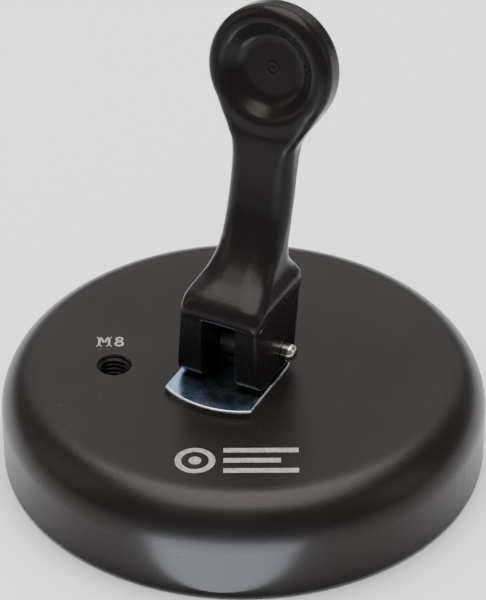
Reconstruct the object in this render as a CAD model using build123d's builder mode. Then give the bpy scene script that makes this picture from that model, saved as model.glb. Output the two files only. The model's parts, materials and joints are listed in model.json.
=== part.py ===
from build123d import *
import os

os.makedirs("parts", exist_ok=True)

# Lever-operated suction base for an instrument arm.
# Millimetres, +Z up. The origin is the centre of the underside. The cross pin
# lies along X and the lever folds down toward -Y.

# ---- housing ---------------------------------------------------------------
base_r = 60.0            # skirt radius
top_z = 25.0             # flat top face
rim_gap = 0.4            # skirt stops this far above the surface
skirt_top_z = 14.0       # where the skirt turns into the shoulder
shoulder_w = 11.0        # width of the elliptical shoulder
seat_r = 55.6            # pocket that holds the thick edge of the rubber pad
seat_z = 6.0             # ledge that presses the pad edge down
cavity_r = 53.0          # room for the pad to rise in
ceiling_z = 20.0         # underside of the roof
bush_bore_r = 7.0

# ---- instrument arm thread (M8) -----------------------------------------------
m8_r = 4.0               # major radius of the thread
m8_mouth_r = 4.35        # countersunk mouth
m8_floor_z = 16.5
m8_boss_r = 8.0
m8_boss_z = 14.5         # lowest face of the boss
m8_offset = 31.8         # distance from the lever axis
m8_angle = 208.0         # polar angle of the hole

# ---- guide bush, wear plate ---------------------------------------------------
stud_r = 4.0
running_gap = 0.08       # radial clearance of sliding and turning fits
bush_flange_r = 9.0
bush_flange_t = 1.0
plate_t = 1.8
plate_r = 22.5           # front arc
plate_half_w = 11.8      # flats parallel to the lever's sides, and the round back end
plate_bore_r = 4.4
eye_r = 4.9              # eye of the pull stud
plate_top_z = top_z + plate_t

# ---- lever ----------------------------------------------------------------------
pin_r = 2.25
pin_h = 5.3              # pin axis above the wear plate, lever up
pin_z = plate_top_z + pin_h
fork_half_w = 11.3       # half width across both ears, at their lower end
fork_neck_w = 10.2       # the same at the fork's top edge
slot_half_w = 4.4        # half width of the slot between the ears
slot_top = 12.6          # slot ceiling above the pin
ear_drop = 4.8           # ear underside below the pin
front_low = 14.1         # front face in front of the pin, lower end
front_top = 13.2         # front face, upper end
back_low = 5.8           # back face behind the pin, lower end
back_top = 12.1          # back face, upper end
fork_top = 18.0          # top edge of the fork above the pin
cam_r = 7.8              # corner that rolls over the wear plate
ear_heel_r = 2.5
head_r = 16.1
head_t = 8.8
head_y = 16.6            # head centre behind the pin
head_z = 100.5
lean = 12.0              # the head leans back by this angle
dish_r = 11.9
dish_floor_r = 8.2
dish_depth = 3.8

# ---- suction pad and pull parts -----------------------------------------------------
pad_r = 55.4
pad_lip_w = 8.4          # width of the sealing land at the edge
pad_recess = 0.5
pad_top_z = 3.0
pad_rim_w = 5.6
insert_r = 20.0
insert_t = 1.8
hub_r = 9.0
hub_top_z = 8.4
hub_roof_z = 6.4
collar_r = 6.0
collar_bottom_z = 3.6
collar_top_z = 5.6
spring_mean_r = 11.0
spring_wire_r = 0.6
spring_turns = 3.5

# ---- housing --------------------------------------------------------------------------
# Round casting: straight skirt, elliptical shoulder, flat top. Inside, a ledge
# bears on the pad edge, and a boss carries the M8 thread.
with BuildPart() as housing:
    with BuildSketch(Plane.XZ):
        with BuildLine():
            Polyline(
                (bush_bore_r, top_z),
                (bush_bore_r, ceiling_z),
                (cavity_r - 8, ceiling_z),
            )
            RadiusArc((cavity_r - 8, ceiling_z), (cavity_r, ceiling_z - 8), 8)
            Polyline(
                (cavity_r, ceiling_z - 8),
                (cavity_r, seat_z),
                (seat_r, seat_z),
                (seat_r, rim_gap),
                (base_r - 0.6, rim_gap),
                (base_r, rim_gap + 0.6),
                (base_r, skirt_top_z),
            )
            EllipticalCenterArc(
                (base_r - shoulder_w, skirt_top_z),
                shoulder_w,
                top_z - skirt_top_z,
                start_angle=0,
                arc_size=90,
            )
            Line((base_r - shoulder_w, top_z), (bush_bore_r, top_z))
        make_face()
    revolve(axis=Axis.Z)
    with BuildSketch(Plane.XY.offset(m8_boss_z)):
        with PolarLocations(m8_offset, 1, start_angle=m8_angle):
            Circle(m8_boss_r)
    extrude(amount=ceiling_z + 1 - m8_boss_z)
    with BuildSketch(Plane.XY.offset(top_z)):
        with PolarLocations(m8_offset, 1, start_angle=m8_angle):
            Circle(m8_r)
    extrude(amount=m8_floor_z - top_z, mode=Mode.SUBTRACT)
    mouth = housing.edges().filter_by(GeomType.CIRCLE).filter_by(
        lambda e: abs(e.radius - m8_r) < 1e-3 and abs(e.center().Z - top_z) < 1e-3
    )
    chamfer(mouth, length=m8_mouth_r - m8_r)
housing.part.label = "housing"
export_step(housing.part, "parts/housing.step")

# ---- guide bush: pressed into the roof, flange against the ceiling ---------------------
with BuildPart() as guide_bush:
    with BuildSketch(Plane.XZ):
        with BuildLine():
            Polyline(
                (stud_r + running_gap, top_z),
                (stud_r + running_gap, ceiling_z - bush_flange_t),
                (bush_flange_r, ceiling_z - bush_flange_t),
                (bush_flange_r, ceiling_z),
                (bush_bore_r, ceiling_z),
                (bush_bore_r, top_z),
                close=True,
            )
        make_face()
    revolve(axis=Axis.Z)
guide_bush.part.label = "guide_bush"
export_step(guide_bush.part, "parts/guide_bush.step")

# ---- wear plate: a tongue with a round back end, turning with the lever -----------------
with BuildPart() as wear_plate:
    with BuildSketch(Plane.XY.offset(top_z)):
        Circle(plate_r)
        with Locations((0, -plate_r / 2)):
            Rectangle(2 * plate_half_w, plate_r, mode=Mode.INTERSECT)
        Circle(plate_half_w)
        Circle(plate_bore_r, mode=Mode.SUBTRACT)
    extrude(amount=plate_t)
    front_corners = wear_plate.edges().filter_by(Axis.Z).group_by(Axis.Y)[0]
    fillet(front_corners, radius=0.8)
    plate_rim = wear_plate.faces().sort_by(Axis.Z)[-1].outer_wire().edges()
    fillet(plate_rim, radius=0.5)
wear_plate.part.label = "wear_plate"
export_step(wear_plate.part, "parts/wear_plate.step")

# ---- pull stud: eye between the ears, shank through the roof, collar in the insert -------
with BuildPart() as pull_stud:
    with BuildSketch(Plane.XZ):
        with BuildLine():
            Polyline(
                (0, collar_bottom_z),
                (collar_r, collar_bottom_z),
                (collar_r, collar_top_z),
                (stud_r, collar_top_z),
                (stud_r, plate_top_z + 1.5),
                (0, plate_top_z + 1.5),
                close=True,
            )
        make_face()
    revolve(axis=Axis.Z)
    with BuildSketch(Plane.YZ):
        with Locations((0, pin_z)):
            Circle(eye_r)
        with Locations((0, plate_top_z + 2.6)):
            Rectangle(2 * stud_r, 4.6)
    extrude(amount=stud_r, both=True)
    with BuildSketch(Plane.YZ):
        with Locations((0, pin_z)):
            Circle(pin_r + running_gap)
    extrude(amount=2 * slot_half_w, both=True, mode=Mode.SUBTRACT)
pull_stud.part.label = "pull_stud"
export_step(pull_stud.part, "parts/pull_stud.step")

# ---- thrust washer: between the stud collar and the hub roof -----------------------------
with BuildPart() as thrust_washer:
    with BuildSketch(Plane.XY.offset(collar_top_z)):
        Circle(collar_r)
        Circle(stud_r + running_gap, mode=Mode.SUBTRACT)
    extrude(amount=hub_roof_z - collar_top_z)
thrust_washer.part.label = "thrust_washer"
export_step(thrust_washer.part, "parts/thrust_washer.step")

# ---- pad insert: steel disc with a hub, bonded to the middle of the pad -------------------
with BuildPart() as pad_insert:
    with BuildSketch(Plane.XZ):
        with BuildLine():
            Polyline(
                (collar_r + 0.3, pad_top_z),
                (insert_r, pad_top_z),
                (insert_r, pad_top_z + insert_t),
                (hub_r, pad_top_z + insert_t),
                (hub_r, hub_top_z),
                (stud_r + running_gap, hub_top_z),
                (stud_r + running_gap, hub_roof_z),
                (collar_r + 0.3, hub_roof_z),
                close=True,
            )
        make_face()
    revolve(axis=Axis.Z)
    hub_edge = pad_insert.edges().filter_by(
        lambda e: e.geom_type == GeomType.CIRCLE
        and abs(e.radius - hub_r) < 1e-3
        and abs(e.center().Z - hub_top_z) < 1e-3
    )
    chamfer(hub_edge, length=0.6)
pad_insert.part.label = "pad_insert"
export_step(pad_insert.part, "parts/pad_insert.step")

# ---- suction pad: rubber membrane with a thick edge and a sealing land --------------------
with BuildPart() as suction_pad:
    with BuildSketch(Plane.XZ):
        with BuildLine():
            Polyline(
                (0, pad_recess),
                (pad_r - pad_lip_w - 1, pad_recess),
                (pad_r - pad_lip_w, 0),
                (pad_r - 0.8, 0),
                (pad_r, 0.8),
                (pad_r, seat_z),
                (pad_r - pad_rim_w, seat_z),
                (pad_r - pad_rim_w - 2.5, pad_top_z),
                (0, pad_top_z),
                close=True,
            )
        make_face()
    revolve(axis=Axis.Z)
suction_pad.part.label = "suction_pad"
export_step(suction_pad.part, "parts/suction_pad.step")

# ---- return spring: from the insert up to the ceiling --------------------------------------
spring_low = pad_top_z + insert_t + spring_wire_r
spring_high = ceiling_z - spring_wire_r
spring_pitch = (spring_high - spring_low) / spring_turns
with BuildPart() as return_spring:
    with BuildLine() as coil:
        Helix(
            pitch=spring_pitch,
            height=spring_high - spring_low,
            radius=spring_mean_r,
            center=(0, 0, spring_low),
        )
    with BuildSketch(Plane(origin=coil.line @ 0, z_dir=coil.line % 0)):
        Circle(spring_wire_r)
    sweep(path=coil.line, is_frenet=True)
    flat_low = Plane.XY.offset(pad_top_z + insert_t)
    split(bisect_by=flat_low, keep=Keep.TOP)
    split(bisect_by=Plane.XY.offset(ceiling_z), keep=Keep.BOTTOM)
return_spring.part.label = "return_spring"
export_step(return_spring.part, "parts/return_spring.step")

# ---- cam lever -----------------------------------------------------------------------------
# One casting: slotted fork, flared neck, flat stem leaning back, round dished head.
stem_sections = [
    # height above the fork, centre along Y, width, thickness, corner radius
    (0.0, -0.55, 2 * fork_neck_w, 25.3, 1.2),
    (3.5, 3.65, 16.6, 17.7, 1.8),
    (8.0, 6.55, 15.4, 12.5, 2.4),
    (15.0, 9.2, 15.6, 9.6, 2.8),
    (30.0, 12.6, 16.0, 9.2, 2.8),
    (39.0, 14.35, 22.0, 9.2, 2.8),
]
head_plane = Plane(
    origin=(0, head_y, head_z), x_dir=(1, 0, 0), z_dir=(0, -1, 0)
).rotated((-lean, 0, 0))
head_section = Plane(
    origin=head_plane.origin,
    x_dir=(1, 0, 0),
    z_dir=Vector(1, 0, 0).cross(head_plane.z_dir),
)

with BuildPart() as cam_lever:
    with BuildSketch(Plane.YZ) as fork_side:
        with BuildLine():
            Polyline(
                (-front_low, pin_z - ear_drop),
                (back_low, pin_z - ear_drop),
                (back_top, pin_z + fork_top),
                (-front_top, pin_z + fork_top),
                close=True,
            )
        make_face()
        cam_corner = fork_side.vertices().group_by(Axis.Y)[0].sort_by(Axis.X)[0]
        fillet(cam_corner, radius=cam_r)
        heel = fork_side.vertices().group_by(Axis.Y)[0].sort_by(Axis.X)[-1]
        fillet(heel, radius=ear_heel_r)
    extrude(amount=fork_half_w, both=True)
    with BuildSketch(Plane.XZ):
        Polygon(
            (-fork_half_w, pin_z - ear_drop),
            (fork_half_w, pin_z - ear_drop),
            (fork_neck_w, pin_z + fork_top),
            (-fork_neck_w, pin_z + fork_top),
            align=None,
        )
    extrude(amount=30, both=True, mode=Mode.INTERSECT)
    for lower in (0, 2):
        for z, y, w, t, r in stem_sections[lower:lower + 3 + lower // 2]:
            with BuildSketch(Plane.XY.offset(pin_z + fork_top + z)):
                with Locations((0, y)):
                    RectangleRounded(w, t, r)
        loft()
    with BuildSketch(head_section):
        with BuildLine():
            Polyline(
                (head_r - 2.2, head_t / 2), (0, head_t / 2), (0, -head_t / 2),
                (head_r - 2.2, -head_t / 2),
            )
            Spline(
                (head_r - 2.2, -head_t / 2), (head_r, 0), (head_r - 2.2, head_t / 2),
                tangents=((1, 0), (-1, 0)),
            )
        make_face()
    revolve(axis=Axis(head_plane.origin, head_plane.z_dir))
    with BuildSketch(head_plane.offset(head_t / 2)):
        Circle(dish_r)
    with BuildSketch(head_plane.offset(head_t / 2 - dish_depth)):
        Circle(dish_floor_r)
    loft(mode=Mode.SUBTRACT)
    with BuildSketch(Plane.XZ):
        with Locations((0, pin_z)):
            Rectangle(2 * slot_half_w, 2 * slot_top)
    extrude(amount=20, both=True, mode=Mode.SUBTRACT)
    with BuildSketch(Plane.YZ):
        with Locations((0, pin_z)):
            Circle(pin_r + running_gap)
    extrude(amount=2 * fork_half_w, both=True, mode=Mode.SUBTRACT)
cam_lever.part.label = "cam_lever"
export_step(cam_lever.part, "parts/cam_lever.step")

# ---- pivot pin: domed end on +X, grooved end on -X ------------------------------------------
pin_out = fork_half_w + 3.0
groove_x = fork_half_w + 0.15
with BuildPart() as pivot_pin:
    with BuildSketch(Plane.YZ.offset(-fork_half_w - 2.2)):
        with Locations((0, pin_z)):
            Circle(pin_r)
    extrude(amount=pin_out + fork_half_w + 2.2)
    fillet(pivot_pin.faces().sort_by(Axis.X)[-1].edges(), radius=1.6)
    chamfer(pivot_pin.faces().sort_by(Axis.X)[0].edges(), length=0.4)
    with BuildSketch(Plane.YZ.offset(-groove_x)):
        with Locations((0, pin_z)):
            Circle(pin_r + 1)
            Circle(1.8, mode=Mode.SUBTRACT)
    extrude(amount=-0.9, mode=Mode.SUBTRACT)
pivot_pin.part.label = "pivot_pin"
export_step(pivot_pin.part, "parts/pivot_pin.step")

# ---- pin clip: open retaining ring in the pin's groove ----------------------------------------
with BuildPart() as pin_clip:
    with BuildSketch(Plane.YZ.offset(-groove_x - 0.05)):
        with Locations((0, pin_z)):
            Circle(3.9)
            Circle(1.82, mode=Mode.SUBTRACT)
        with Locations((0, pin_z + 3)):
            Rectangle(3.0, 6, mode=Mode.SUBTRACT)
    extrude(amount=-0.8)
pin_clip.part.label = "pin_clip"
export_step(pin_clip.part, "parts/pin_clip.step")
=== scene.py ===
import json
import math

import bmesh
import bpy
import numpy as np
from mathutils import Matrix, Vector


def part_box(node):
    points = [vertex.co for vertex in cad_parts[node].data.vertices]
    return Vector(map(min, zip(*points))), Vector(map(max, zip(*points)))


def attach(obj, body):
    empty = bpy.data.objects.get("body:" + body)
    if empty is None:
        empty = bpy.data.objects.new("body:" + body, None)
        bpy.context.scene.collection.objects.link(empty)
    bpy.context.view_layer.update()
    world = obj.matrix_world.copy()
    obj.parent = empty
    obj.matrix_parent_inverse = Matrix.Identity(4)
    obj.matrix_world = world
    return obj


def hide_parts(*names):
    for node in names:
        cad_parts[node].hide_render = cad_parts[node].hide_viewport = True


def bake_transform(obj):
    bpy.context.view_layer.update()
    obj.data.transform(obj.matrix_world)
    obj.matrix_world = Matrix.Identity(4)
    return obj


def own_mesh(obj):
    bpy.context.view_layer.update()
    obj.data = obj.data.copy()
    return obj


# Lever-operated suction base. Lengths below are in millimetres and are turned
# into metres when a mesh is made. X is the cross pin, the lever folds to -Y.

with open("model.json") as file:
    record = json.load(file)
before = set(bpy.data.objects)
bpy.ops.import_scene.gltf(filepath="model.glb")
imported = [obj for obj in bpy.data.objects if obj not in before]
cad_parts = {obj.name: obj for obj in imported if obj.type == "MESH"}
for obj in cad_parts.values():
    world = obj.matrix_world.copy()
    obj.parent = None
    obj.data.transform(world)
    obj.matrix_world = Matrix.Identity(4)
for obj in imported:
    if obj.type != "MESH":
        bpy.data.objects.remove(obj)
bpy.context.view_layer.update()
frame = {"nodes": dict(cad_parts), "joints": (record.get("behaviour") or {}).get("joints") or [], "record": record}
MM = 0.001
nodes = frame["nodes"]
joint = {j["name"]: j for j in frame["joints"]}
pin_z = joint["lever_fold"]["pos_m"][2] / MM
plate_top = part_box("wear_plate")[1].z / MM
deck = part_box("housing")[1].z / MM
YAW = 27.0                       # degrees about Z from the lever's front to the housing's


# ---- mesh helpers ---------------------------------------------------------------

def mesh_object(name, verts, faces, smooth=True):
    """An object from vertices in millimetres."""
    me = bpy.data.meshes.new(name)
    points = [tuple(v) for v in np.asarray(verts) * MM]
    me.from_pydata(points, [], [tuple(f) for f in faces])
    me.validate()
    ob = bpy.data.objects.new(name, me)
    bpy.context.scene.collection.objects.link(ob)
    bm = bmesh.new()
    bm.from_mesh(me)
    bmesh.ops.recalc_face_normals(bm, faces=bm.faces)
    bm.to_mesh(me)
    bm.free()
    if smooth:
        me.shade_smooth()
    return ob


REFINE_ROUNDS = 4        # how often each vertex is moved towards the surface
REFINE_REACH = 0.5       # the furthest it moves each time, in cells
SLOPE_STEP = 0.2         # half the distance over which the slope is measured, in cells


def surface_nets(field, low, high, step):
    """Quads on the zero surface of field(x, y, z), each vertex moved onto the surface."""
    axes = [np.arange(a - 2 * step, b + 2 * step, step) for a, b in zip(low, high)]
    gx, gy, gz = np.meshgrid(*axes, indexing="ij", sparse=True)
    d = np.broadcast_to(field(gx, gy, gz), [len(a) for a in axes]).astype(np.float32)
    inside = d < 0
    n = [len(a) - 1 for a in axes]
    total = np.zeros(n + [3], np.float32)
    count = np.zeros(n, np.float32)
    corners = [(i, j, k) for i in (0, 1) for j in (0, 1) for k in (0, 1)]

    def part(a, c):
        return a[c[0]:c[0] + n[0], c[1]:c[1] + n[1], c[2]:c[2] + n[2]]

    for c in corners:
        for axis in range(3):
            if c[axis]:
                continue
            e = list(c)
            e[axis] = 1
            d0, d1 = part(d, c), part(d, e)
            cross = part(inside, c) != part(inside, e)
            t = np.where(cross, d0 / np.where(cross, d0 - d1, 1), 0)
            for m in range(3):
                total[..., m] += cross * (c[m] + (t if m == axis else 0))
            count += cross
    used = count > 0
    index = np.full(n, -1)
    index[used] = np.arange(used.sum())
    cell = np.argwhere(used)
    pts = cell + total[used] / count[used][:, None]
    pts = np.array([a[0] for a in axes]) + pts * step
    faces = []
    for axis in range(3):
        u, v = (axis + 1) % 3, (axis + 2) % 3
        s0 = [slice(1, -1)] * 3
        s1 = [slice(1, -1)] * 3
        s0[axis], s1[axis] = slice(0, -1), slice(1, None)
        flips = inside[tuple(s0)] != inside[tuple(s1)]
        out = inside[tuple(s0)]
        at = np.argwhere(flips)
        way = out[flips]
        at[:, u] += 1
        at[:, v] += 1
        quad = []
        for du, dv in ((-1, -1), (0, -1), (0, 0), (-1, 0)):
            q = at.copy()
            q[:, u] += du
            q[:, v] += dv
            quad.append(index[q[:, 0], q[:, 1], q[:, 2]])
        quad = np.stack(quad, 1)
        quad[~way] = quad[~way][:, ::-1]
        faces.append(quad)
    faces = np.concatenate(faces)
    p = pts.astype(float)
    h = step * SLOPE_STEP
    for _ in range(REFINE_ROUNDS):
        f = field(p[:, 0], p[:, 1], p[:, 2])
        g = np.stack([
            field(p[:, 0] + h, p[:, 1], p[:, 2]) - field(p[:, 0] - h, p[:, 1], p[:, 2]),
            field(p[:, 0], p[:, 1] + h, p[:, 2]) - field(p[:, 0], p[:, 1] - h, p[:, 2]),
            field(p[:, 0], p[:, 1], p[:, 2] + h) - field(p[:, 0], p[:, 1], p[:, 2] - h),
        ], 1) / (2 * h)
        move = -f[:, None] * g / np.maximum((g * g).sum(1), 0.05)[:, None]
        size = np.linalg.norm(move, axis=1, keepdims=True)
        p += move * np.minimum(1, step * REFINE_REACH / np.maximum(size, 1e-9))
    return p, faces


def round_box(px, py, hx, hy, r):
    """Distance to a rectangle of half sizes hx and hy with corners of radius r."""
    qx, qy = np.abs(px) - hx + r, np.abs(py) - hy + r
    return np.hypot(np.maximum(qx, 0), np.maximum(qy, 0)) + np.minimum(np.maximum(qx, qy), 0) - r


def join(a, b, k):
    """Smooth union with a blend about k wide."""
    h = np.maximum(k - np.abs(a - b), 0) / k
    return np.minimum(a, b) - h * h * k / 4


def cut(a, b, k):
    """a without b, with the edge softened by about k."""
    return -join(-a, b, k)


def curve(z, table, column):
    """A smooth line through one column of a table of cross-sections, by height."""
    zs = np.array([row[0] for row in table], float)
    ys = np.array([row[column] for row in table], float)
    m = np.gradient(ys, zs)
    z = np.clip(z, zs[0], zs[-1])
    i = np.clip(np.searchsorted(zs, z, side="right") - 1, 0, len(zs) - 2)
    w = zs[i + 1] - zs[i]
    t = (z - zs[i]) / w
    return ((2 * t ** 3 - 3 * t ** 2 + 1) * ys[i] + (t ** 3 - 2 * t ** 2 + t) * w * m[i]
            + (3 * t ** 2 - 2 * t ** 3) * ys[i + 1] + (t ** 3 - t ** 2) * w * m[i + 1])


def polygon(py, pz, pts):
    """Signed distance to a closed polygon."""
    best = None
    sign = 1.0
    for (ay, az), (by, bz) in zip(pts, pts[-1:] + pts[:-1]):
        ey, ez = by - ay, bz - az
        wy, wz = py - ay, pz - az
        t = np.clip((wy * ey + wz * ez) / (ey * ey + ez * ez), 0, 1)
        d2 = (wy - ey * t) ** 2 + (wz - ez * t) ** 2
        best = d2 if best is None else np.minimum(best, d2)
        c1, c2, c3 = pz >= az, pz < bz, ey * wz > ez * wy
        flip = (c1 & c2 & c3) | (~c1 & ~c2 & ~c3)
        sign = np.where(flip, -sign, sign)
    return sign * np.sqrt(best)


def rounded(pts, radii, n=8):
    """A convex polygon with its corners turned into arcs."""
    out = []
    for i, (p, r) in enumerate(zip(pts, radii)):
        p = np.array(p, float)
        a = np.array(pts[i - 1], float) - p
        b = np.array(pts[(i + 1) % len(pts)], float) - p
        a, b = a / np.linalg.norm(a), b / np.linalg.norm(b)
        half = math.acos(np.clip(a @ b, -1, 1)) / 2
        c = p + (a + b) / np.linalg.norm(a + b) * r / math.sin(half)
        s, e = p + a * r / math.tan(half) - c, p + b * r / math.tan(half) - c
        a0, a1 = math.atan2(s[1], s[0]), math.atan2(e[1], e[0])
        d = (a1 - a0 + math.pi) % (2 * math.pi) - math.pi
        out += [tuple(c + r * np.array([math.cos(a0 + d * t), math.sin(a0 + d * t)]))
                for t in np.linspace(0, 1, n)]
    return out


# ---- materials --------------------------------------------------------------------

class Mat:
    """A small helper for node materials."""

    def __init__(self, name, **inputs):
        self.mat = bpy.data.materials.new(name)
        self.mat.use_nodes = True
        self.tree = self.mat.node_tree
        self.shader = self.tree.nodes["Principled BSDF"]
        for key, value in inputs.items():
            self.shader.inputs[key.replace("_", " ")].default_value = value
        self.coord = self.tree.nodes.new("ShaderNodeTexCoord").outputs["Object"]

    def node(self, kind, links=None, **props):
        """A node; links join its sockets, props fill sockets or set properties by name."""
        n = self.tree.nodes.new(kind)
        for k, v in props.items():
            if k in n.inputs:
                n.inputs[k].default_value = v
            else:
                setattr(n, k, v)
        for k, v in (links or {}).items():
            self.tree.links.new(v, n.inputs[k])
        return n

    def noise(self, scale, detail=3.0, rough=0.55, coord=None):
        n = self.node("ShaderNodeTexNoise", {"Vector": coord or self.coord}, Scale=scale)
        n.inputs["Detail"].default_value = detail
        n.inputs["Roughness"].default_value = rough
        return n.outputs["Fac"]

    def ramp(self, source, stops):
        """A colour ramp; each stop is a place and a colour, or one number for grey."""
        n = self.node("ShaderNodeValToRGB", {"Fac": source})
        e = n.color_ramp.elements
        while len(e) < len(stops):
            e.new(0.5)
        for el, (at, col) in zip(e, stops):
            el.position = at
            el.color = (*col, 1) if isinstance(col, tuple) else (col, col, col, 1)
        return n.outputs["Color"]

    def mix(self, fac, a, b):
        n = self.node("ShaderNodeMix", data_type="RGBA")
        for i, v in ((0, fac), (6, a), (7, b)):
            if isinstance(v, bpy.types.NodeSocket):
                self.tree.links.new(v, n.inputs[i])
            elif i:
                n.inputs[i].default_value = (*v, 1)
            else:
                n.inputs[i].default_value = v
        return n.outputs[2]

    def product(self, a, b):
        n = self.node("ShaderNodeMath", operation="MULTIPLY")
        self.tree.links.new(a, n.inputs[0])
        self.tree.links.new(b, n.inputs[1])
        return n.outputs[0]

    def scaled(self, x, y, z):
        return self.node("ShaderNodeMapping", {"Vector": self.coord}, Scale=(x, y, z)).outputs[0]

    def bump(self, height, strength, distance):
        n = self.node("ShaderNodeBump", {"Height": height}, Strength=strength)
        n.inputs["Distance"].default_value = distance
        self.tree.links.new(n.outputs[0], self.shader.inputs["Normal"])

    def put(self, socket, key):
        """Link a socket to the shader's input of that name."""
        self.tree.links.new(socket, self.shader.inputs[key])


SPECK_COLOUR = (0.06, 0.056, 0.052)


def coated(name, dark, light, rough, grain, bump, specks, **inputs):
    """Black coated metal: fine grain, slow variation and, if wanted, a few pale specks."""
    m = Mat(name, **inputs)
    cloud = m.noise(38.0, 4.0)
    base = m.ramp(cloud, [(0.3, dark), (0.72, light)])
    fine = m.noise(grain, 2.0, 0.7)
    if specks:
        dust = m.node("ShaderNodeTexVoronoi", {"Vector": m.coord}, Scale=330.0).outputs["Distance"]
        dots = m.ramp(dust, [(0.045, 1.0), (0.075, 0.0)])
        where = m.ramp(m.noise(52.0, 2.0), [(0.6, 0.0), (0.66, 1.0)])
        base = m.mix(m.product(dots, where), base, SPECK_COLOUR)
    m.put(base, "Base Color")
    r = m.ramp(fine, [(0.3, rough - 0.05), (0.7, rough + 0.06)])
    m.put(r, "Roughness")
    m.bump(fine, bump, 0.0002)
    return m.mat


def metal(name, colour, rough, stretch=None, painted_reflection=None, bump=0.12, above=None):
    """Plated or turned steel with a fine grain; an optional colour, a painted reflection, lies on faces above a
    height, in patches.
    """
    m = Mat(name, Metallic=1.0)
    c = m.noise(260.0, 3.0, 0.6, m.scaled(*stretch) if stretch else None)
    dim = tuple(v * 0.78 for v in colour)
    base = m.ramp(c, [(0.3, dim), (0.7, colour)])
    # Painted reflection: the given colour is mixed in patches onto faces above a height.
    if painted_reflection:
        reflection_patches = m.ramp(m.noise(140.0, 4.0), [(0.36, 0.0), (0.56, 1.0)])
        height = m.node("ShaderNodeSeparateXYZ", {"Vector": m.coord}).outputs["Z"]
        top = m.node("ShaderNodeMath", {"Value": height}, operation="GREATER_THAN")
        top.inputs[1].default_value = above * MM
        base = m.mix(m.product(reflection_patches, top.outputs[0]), base, painted_reflection)
    m.put(base, "Base Color")
    m.put(m.ramp(c, [(0.25, rough - 0.06), (0.75, rough + 0.08)]), "Roughness")
    m.bump(c, bump, 0.0001)
    return m.mat


def rubber(name):
    """Moulded rubber, matt and slightly uneven."""
    m = Mat(name)
    n = m.noise(900.0, 3.0, 0.6)
    m.put(m.ramp(m.noise(45.0), [(0.3, (0.010, 0.010, 0.011)), (0.7, (0.020, 0.020, 0.021))]),
          "Base Color")
    m.put(m.ramp(n, [(0.3, 0.55), (0.7, 0.75)]), "Roughness")
    m.bump(n, 0.2, 0.0003)
    return m.mat


def paint(name):
    """Printed pale marks, slightly worn."""
    m = Mat(name)
    n = m.noise(1500.0, 2.0)
    m.put(m.ramp(n, [(0.35, (0.18, 0.172, 0.162)), (0.6, (0.31, 0.30, 0.285))]), "Base Color")
    m.put(m.ramp(n, [(0.3, 0.45), (0.7, 0.6)]), "Roughness")
    return m.mat


MATS = {
    "housing": coated("housing_black", (0.0060, 0.0049, 0.0046), (0.0090, 0.0074, 0.0069),
                      0.32, 1500.0, 0.15, True, Specular_IOR_Level=0.20,
                      Specular_Tint=(1.0, 0.91, 0.88, 1.0)),
    "lever": coated("lever_black", (0.0085, 0.0070, 0.0068), (0.0115, 0.0096, 0.0094),
                    0.26, 700.0, 0.008, False, Specular_IOR_Level=0.12,
                    Specular_Tint=(1.0, 0.93, 0.91, 1.0)),
    # The plate's bluish top face, in patches, is a painted reflection; its grey is the zinc plating's own colour.
    "plate": metal("zinc_plate", (0.50, 0.52, 0.50), 0.24, None, (0.27, 0.40, 0.58), 0.02,
                   above=plate_top - 0.06),
    "pin": metal("pin_zinc", (0.60, 0.57, 0.47), 0.20, None, None, 0.03),
    "stud": metal("stud_steel", (0.52, 0.52, 0.54), 0.30, (1, 1, 7)),
    # The pull stud's steel darkened to near black is painted shade, for the shadow in the lever's slot.
    "shaded_stud": metal("stud_steel_painted_shade", (0.10, 0.095, 0.09), 0.42, (1, 1, 7)),
    "spring": metal("spring_steel", (0.33, 0.33, 0.34), 0.32),
    "bronze": metal("bronze", (0.62, 0.42, 0.20), 0.33, (1, 1, 7)),
    "rubber": rubber("pad_rubber"),
    "paint": paint("mark_paint"),
}


def give(obj, key):
    """Set the object's only material."""
    obj.data.materials.clear()
    obj.data.materials.append(MATS[key])


for name, key in {
    "housing": "housing", "guide_bush": "bronze", "wear_plate": "plate",
    "pull_stud": "shaded_stud", "thrust_washer": "bronze", "pad_insert": "stud",
    "pivot_pin": "pin", "pin_clip": "spring", "cam_lever": "lever",
    "suction_pad": "rubber", "return_spring": "spring",
}.items():
    give(nodes[name], key)


# ---- lever ----------------------------------------------------------------------------
# Heights in this section are above the pin. One cast piece: fork, neck, stem, head.

FORK_LOW, FORK_NECK = 11.3, 10.2     # half widths at the fork's lower end and top edge
FORK_TOP = 18.0
SLOT_W, SLOT_TOP = 4.4, 12.5         # half width, and the height where the slot ends
BORE = 2.33                          # radius for the cross pin
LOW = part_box("cam_lever")[0].z / MM - pin_z
fork_outline = rounded(
    [(-14.1, LOW), (5.8, LOW), (12.1, FORK_TOP), (-13.2, FORK_TOP)], [3.6, 2.5, 1.4, 4.2])
stem_table = [
    # height, front, back, half width, edge radius
    (15.0, -12.4, 11.3, 9.8, 3.0),
    (17.4, -11.4, 11.7, 9.6, 4.0),
    (19.2, -9.1, 12.1, 9.1, 5.2),
    (21.0, -6.2, 12.4, 8.6, 6.0),
    (23.2, -2.9, 12.6, 8.3, 6.1),
    (26.0, 0.2, 12.8, 8.2, 5.6),
    (29.0, 2.3, 13.2, 8.2, 5.0),
    (33.0, 4.3, 14.0, 8.2, 4.6),
    (38.0, 5.9, 15.2, 8.2, 4.4),
    (43.0, 7.1, 16.2, 8.1, 4.0),
    (48.0, 8.0, 17.2, 8.2, 3.6),
    (50.5, 8.4, 17.7, 8.5, 3.3),
    (52.5, 8.8, 18.1, 9.3, 3.0),
    (54.5, 9.4, 18.4, 10.4, 3.0),
    (56.5, 9.9, 18.6, 11.6, 3.0),
    (58.5, 10.6, 18.6, 12.5, 2.9),
    (60.5, 11.7, 18.4, 12.8, 2.6),
]
HEAD_Y, HEAD_Z = 16.6, 100.5 - pin_z
LEAN = math.radians(12.0)
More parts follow.
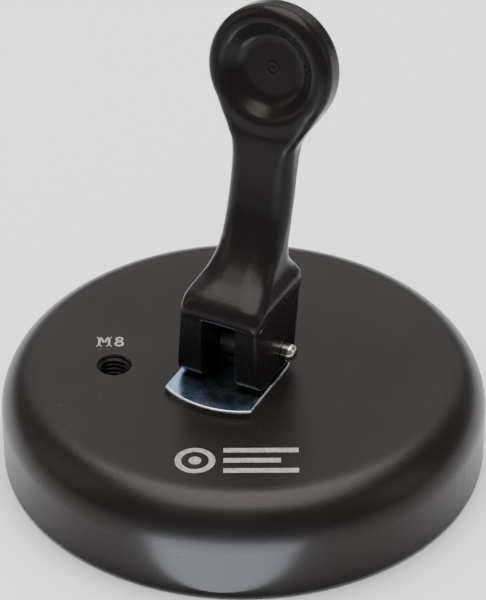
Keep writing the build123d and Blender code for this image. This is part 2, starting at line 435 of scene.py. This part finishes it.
HEAD_R, HEAD_T, HEAD_EDGE = 16.1, 8.8, 2.8
DISH_R, FLOOR_R, DISH_D = 12.1, 8.2, 3.8    # rim radius, floor radius, depth
WALL_SLOPE = 0.65                           # turns the wall's height gap into a distance
MARK_R, MARK_HALF = 1.5, 0.22               # moulded ring in the dish, and half its width
MARK_DOT, MARK_RISE = 0.45, 0.16
CELL = 0.40


def lever_field(x, y, z):
    """Distance to the lever's skin, negative inside."""
    outline = polygon(y, z, fork_outline)
    width = FORK_NECK + (FORK_LOW - FORK_NECK) * np.clip((FORK_TOP - z) / (FORK_TOP - LOW), 0, 1)
    soft = 1.1 + 1.5 * np.clip((z - 11.0) / 7.0, 0, 1) ** 2
    q1, q2 = outline + soft, np.abs(x) - width + soft
    fork = (np.hypot(np.maximum(q1, 0), np.maximum(q2, 0))
            + np.minimum(np.maximum(q1, q2), 0) - soft)
    front, back = curve(z, stem_table, 1), curve(z, stem_table, 2)
    half, edge = curve(z, stem_table, 3), curve(z, stem_table, 4)
    stem = round_box(x, y - (front + back) / 2, half, (back - front) / 2, edge)
    stem = np.maximum(stem, np.maximum(stem_table[0][0] - z, z - stem_table[-1][0]))
    body = join(fork, stem, 3.2)
    # head: n runs along its axis to the front, s up its face
    dy, dz = y - HEAD_Y, z - HEAD_Z
    n = -dy * math.cos(LEAN) + dz * math.sin(LEAN)
    s = dy * math.sin(LEAN) + dz * math.cos(LEAN)
    r = np.hypot(x, s)
    head = round_box(r, n, HEAD_R, HEAD_T / 2, HEAD_EDGE)
    body = join(body, head, 1.2)
    top = HEAD_T / 2
    wall = (r - FLOOR_R - (n - top + DISH_D) * (DISH_R - FLOOR_R) / DISH_D) * WALL_SLOPE
    floor_gap = top - DISH_D - n
    dish = -join(-wall, -floor_gap, 1.2)
    body = cut(body, dish, 0.8)
    rise = np.abs(floor_gap) - MARK_RISE
    ring_mark = np.maximum(np.abs(r - MARK_R) - MARK_HALF, rise)
    dot_mark = np.maximum(r - MARK_DOT, rise)
    body = join(body, np.minimum(ring_mark, dot_mark), 0.15)
    slot = round_box(x, z, SLOT_W, SLOT_TOP, 0.5)
    body = cut(body, slot, 0.7)
    bore = np.hypot(y, z) - BORE
    return cut(body, bore, 0.3)


low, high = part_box("cam_lever")
p, f = surface_nets(
    lever_field,
    (low.x / MM, low.y / MM, low.z / MM - pin_z),
    (high.x / MM, high.y / MM, high.z / MM - pin_z),
    CELL,
)
p[:, 2] += pin_z
lever = mesh_object("lever_casting", p, f)
give(lever, "lever")
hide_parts("cam_lever")
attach(lever, "lever")


# ---- suction pad: moulded rubber ----------------------------------------------------------
# The profile runs from the middle of the underside, round the edge, to the middle of the top.
pad_profile = [
    (0.05, 0.5), (8, 0.5), (16, 0.5), (20.5, 0.5), (24, 0.5), (27, 0.5), (30, 0.5), (33, 0.5),
    (36, 0.5), (39, 0.5), (42, 0.5), (44.5, 0.5), (45.6, 0.45), (46.4, 0.15), (47.0, 0.0),
    (48.2, 0.0), (48.6, 0.35), (49.2, 0.35), (49.6, 0.0), (51.0, 0.0), (51.4, 0.35),
    (52.0, 0.35), (52.4, 0.0), (54.4, 0.0), (55.1, 0.25), (55.4, 0.9), (55.4, 3.0),
    (55.4, 5.5), (55.1, 5.95), (53.5, 6.0), (50.6, 6.0), (49.8, 5.75), (48.9, 4.8),
    (48.0, 3.6), (47.2, 3.1), (46.0, 3.0), (42, 3.0), (39, 3.0), (36, 3.0), (33, 3.0),
    (30, 3.0), (27, 3.0), (24, 3.0), (20.5, 3.0), (16, 3.0), (8, 3.0), (0.05, 3.0),
]


def lathe(name, profile, n):
    """Turn a profile that starts and ends near the Z axis about it, in n steps."""
    verts, faces = [], []
    for r, z in profile:
        for i in range(n):
            a = 2 * math.pi * i / n
            verts.append((r * math.cos(a), r * math.sin(a), z))
    rows = len(profile)
    for j in range(rows - 1):
        k = j + 1
        for i in range(n):
            m = (i + 1) % n
            faces.append((j * n + i, j * n + m, k * n + m, k * n + i))
    faces.append(tuple(range(n)))
    faces.append(tuple((rows - 1) * n + i for i in range(n)))
    return mesh_object(name, verts, faces)


FLEX_IN, FLEX_OUT = 0.0205, 0.0465    # a weight t falls from 1 to 0 between these radii, in metres; nothing uses it
pad = lathe("rubber_pad", pad_profile, 128)
give(pad, "rubber")
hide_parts("suction_pad")
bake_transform(pad)
co = np.array([v.co for v in pad.data.vertices])
t = np.clip((FLEX_OUT - np.hypot(co[:, 0], co[:, 1])) / (FLEX_OUT - FLEX_IN), 0, 1)


# ---- return spring: closed ends ----------------------------------------------------------
INSERT_T = 1.8                        # the insert's disc, which the spring stands on
spring_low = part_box("pad_insert")[0].z / MM + INSERT_T
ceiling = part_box("return_spring")[1].z / MM
WIRE, MEAN_R, TURNS = 0.6, 11.0, 3.5
verts, faces = [], []
steps, sides = 260, 14
for i in range(steps + 1):
    t = i / steps
    a = 2 * math.pi * TURNS * t
    rise = np.interp(t, [0, 0.14, 0.86, 1], [0, 0.06, 0.94, 1])    # flatter end turns
    z = spring_low + WIRE + rise * (ceiling - spring_low - 2 * WIRE)
    for k in range(sides):
        b = 2 * math.pi * k / sides
        r = MEAN_R + WIRE * math.cos(b)
        verts.append((r * math.cos(a), r * math.sin(a), z + WIRE * math.sin(b)))
for i in range(steps):
    for k in range(sides):
        m = (k + 1) % sides
        faces.append((i * sides + k, i * sides + m, (i + 1) * sides + m, (i + 1) * sides + k))
faces += [tuple(range(sides)), tuple(steps * sides + k for k in range(sides))]
spring = mesh_object("coil_spring", verts, faces)
give(spring, "spring")
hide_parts("return_spring")
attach(spring, "base")
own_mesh(spring)


# ---- M8 thread inside the hole --------------------------------------------------------------
mount = frame["record"]["mounts"][0]
hole = Vector(mount["pos_m"]) / MM
MAJOR, MINOR, PITCH = 4.0, 3.4, 1.25
TOP_GAP = 0.55                        # from the deck to the first turn
CREST, ROOT = 0.1, 0.56               # half widths of a ridge at its crest and root
verts, faces = [], []
turns, per, fade_steps = 6, 48, 20
for i in range(turns * per + 1):
    a = 2 * math.pi * i / per
    z = deck - TOP_GAP - (turns - i / per) * PITCH
    fade = min(1, i / fade_steps, (turns * per - i) / fade_steps)
    crest = MAJOR - (MAJOR - MINOR) * max(fade, 0.05)
    wall = MAJOR - 0.01
    for r, dz in ((wall, -ROOT), (crest, -CREST), (crest, CREST), (wall, ROOT)):
        verts.append((hole.x + r * math.cos(a), hole.y + r * math.sin(a), z + dz))
for i in range(turns * per):
    for k in range(4):
        m = (k + 1) % 4
        faces.append((i * 4 + k, i * 4 + m, (i + 1) * 4 + m, (i + 1) * 4 + k))
faces += [(0, 1, 2, 3), tuple(turns * per * 4 + k for k in range(4))]
thread = mesh_object("m8_thread_ridges", verts, faces, smooth=False)
give(thread, "housing")
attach(thread, "base")


# ---- printed marks ---------------------------------------------------------------------------

PRINT_LOW, PRINT_HIGH = 0.005, 0.04   # the print's underside and top above the deck


def print_mark(name, outlines, origin):
    """Thin raised print from closed outlines, in the housing's own front direction."""
    verts, faces = [], []
    c, s = math.cos(math.radians(YAW)), math.sin(math.radians(YAW))
    for pts in outlines:
        base = len(verts)
        n = len(pts)
        for z in (deck + PRINT_LOW, deck + PRINT_HIGH):
            for u, v in pts:
                u, v = u + origin[0], v + origin[1]
                verts.append((u * c - v * s, u * s + v * c, z))
        faces.append(tuple(base + i for i in range(n)))
        faces.append(tuple(base + n + i for i in range(n)))
        for i in range(n):
            j = (i + 1) % n
            faces.append((base + i, base + j, base + n + j, base + n + i))
    ob = mesh_object(name, verts, faces, smooth=False)
    give(ob, "paint")
    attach(ob, "base")


def bar(u0, v0, u1, v1):
    """An upright rectangle."""
    return [(u0, v0), (u1, v0), (u1, v1), (u0, v1)]


def ring(cu, cv, r0, r1, n, sy=1.0):
    """A ring as short closed quads, so that its middle stays open."""
    out = []
    for i in range(n):
        p = [math.radians(360 * (i + k) / n) for k in (0, 1)]
        out.append([(cu + r * math.cos(a), cv + r * math.sin(a) * sy)
                    for a, r in ((p[0], r0), (p[1], r0), (p[1], r1), (p[0], r1))])
    return out


# The size of the thread: an M and an 8, with slab ends.
letter_m = [
    bar(-3.2, -2.0, -2.65, 2.0), bar(-0.75, -2.0, -0.2, 2.0),
    [(-3.0, 2.0), (-2.45, 2.0), (-1.45, -0.6), (-1.95, -0.6)],
    [(-0.95, 2.0), (-0.4, 2.0), (-1.45, -0.6), (-1.95, -0.6)],
    bar(-3.55, -2.0, -2.3, -1.6), bar(-1.1, -2.0, 0.15, -1.6),
    bar(-3.55, 1.6, -2.9, 2.0), bar(-0.5, 1.6, 0.15, 2.0),
]
figure_8 = ring(2.05, 0.98, 0.45, 1.0, n=24, sy=1.02)
figure_8 += ring(2.05, -0.92, 0.6, 1.2, n=24, sy=0.92)
print_mark("thread_size_mark", letter_m + figure_8, (-32.9, 9.1))
# A plain mark: a ring with a dot, and three bars.
front_mark = ring(-9.9, 0, 3.3, 4.8, n=40) + ring(-9.9, 0, 0, 1.5, n=20)
front_mark += [
    bar(-3.2, 3.0, 14.6, 4.7),
    bar(-3.2, -0.85, 10.4, 0.85),
    bar(-3.2, -4.7, 14.6, -3.0),
]
print_mark("front_mark", front_mark, (-1.6, -38.9))


# ---- floor, light, camera ---------------------------------------------------------------------

bm = bmesh.new()
bmesh.ops.create_grid(bm, x_segments=8, y_segments=8, size=4.0)
me = bpy.data.meshes.new("floor")
bm.to_mesh(me)
bm.free()
floor = bpy.data.objects.new("floor", me)
floor.location.z = -0.0002
bpy.context.scene.collection.objects.link(floor)
m = Mat("floor_white", Roughness=0.9)
m.put(m.ramp(m.noise(2.0), [(0.3, 0.90), (0.7, 0.93)]), "Base Color")
m.shader.inputs["Specular IOR Level"].default_value = 0.1
floor.data.materials.append(m.mat)

world = bpy.data.worlds.new("studio")
bpy.context.scene.world = world
world.use_nodes = True
sky = world.node_tree.nodes["Background"]
sky.inputs["Color"].default_value = (1.0, 1.0, 1.0, 1)
sky.inputs["Strength"].default_value = 0.235

LIT_POINT = Vector((0, 0, 0.03))       # where the soft lights aim, in metres
LOW_COLOUR = (0.72, 0.85, 1.0)


def area(name, azimuth, elevation, distance, size, power):
    """A soft light; azimuth 0 is the camera's side, positive to the right."""
    a, e = math.radians(azimuth + YAW), math.radians(elevation)
    back = Vector((math.sin(a) * math.cos(e), -math.cos(a) * math.cos(e), math.sin(e)))
    light = bpy.data.lights.new(name, "AREA")
    light.shape = "RECTANGLE"
    light.size, light.size_y = size
    light.energy = power
    ob = bpy.data.objects.new(name, light)
    ob.location = LIT_POINT + back * distance
    ob.rotation_mode = "QUATERNION"
    ob.rotation_quaternion = back.to_track_quat("Z", "Y")
    bpy.context.scene.collection.objects.link(ob)


area("overhead", 180, 82, 1.2, (1.15, 1.15), 33.0)
area("back_panel", 180, 35, 1.2, (1.8, 0.8), 5.0)
area("left_panel", -90, 28, 1.0, (0.5, 0.7), 1.6)
area("right_panel", 75, 25, 1.0, (0.5, 0.6), 1.3)
area("key", -40, 50, 0.8, (0.10, 0.10), 0.12)


def low_panel(name, azimuth, out, radius, power):
    """A round light lying in front of the object and facing up, which only reflects it."""
    light = bpy.data.lights.new(name, "AREA")
    light.shape = "DISK"
    light.size = 2 * radius
    light.energy = power
    light.color = LOW_COLOUR
    ob = bpy.data.objects.new(name, light)
    a = math.radians(azimuth + YAW)
    ob.location = (out * math.sin(a), -out * math.cos(a), 0.002)
    ob.rotation_euler.x = math.pi
    ob.visible_camera = False
    bpy.context.scene.collection.objects.link(ob)


low_panel("low_near", -6, 0.100, 0.040, 0.18)
low_panel("low_far", -4, 0.42, 0.20, 1.2)

# The camera looks at a point on the Z axis from the housing's front.
CAM_HEIGHT, CAM_ROLL = math.radians(35.05), math.radians(-0.26)
CAM_AIM, CAM_DISTANCE = 0.0439, 0.72     # in metres
back = np.array([0, -math.cos(CAM_HEIGHT), math.sin(CAM_HEIGHT)])
right = np.array([1.0, 0, 0])
up = np.cross(back, right)
rolled_right = math.cos(CAM_ROLL) * right + math.sin(CAM_ROLL) * up
rolled_up = -math.sin(CAM_ROLL) * right + math.cos(CAM_ROLL) * up
spin = np.array(Matrix.Rotation(math.radians(YAW), 3, "Z"))
place = np.eye(4)
place[:3, :3] = spin @ np.stack([rolled_right, rolled_up, back], 1)
place[:3, 3] = spin @ (np.array([0, 0, CAM_AIM]) + back * CAM_DISTANCE)
cam = bpy.data.cameras.new("camera")
cam.lens = 177.9
cam.sensor_width = 36
cam_ob = bpy.data.objects.new("camera", cam)
bpy.context.scene.collection.objects.link(cam_ob)
cam_ob.matrix_world = Matrix(place.tolist())
bpy.context.scene.camera = cam_ob
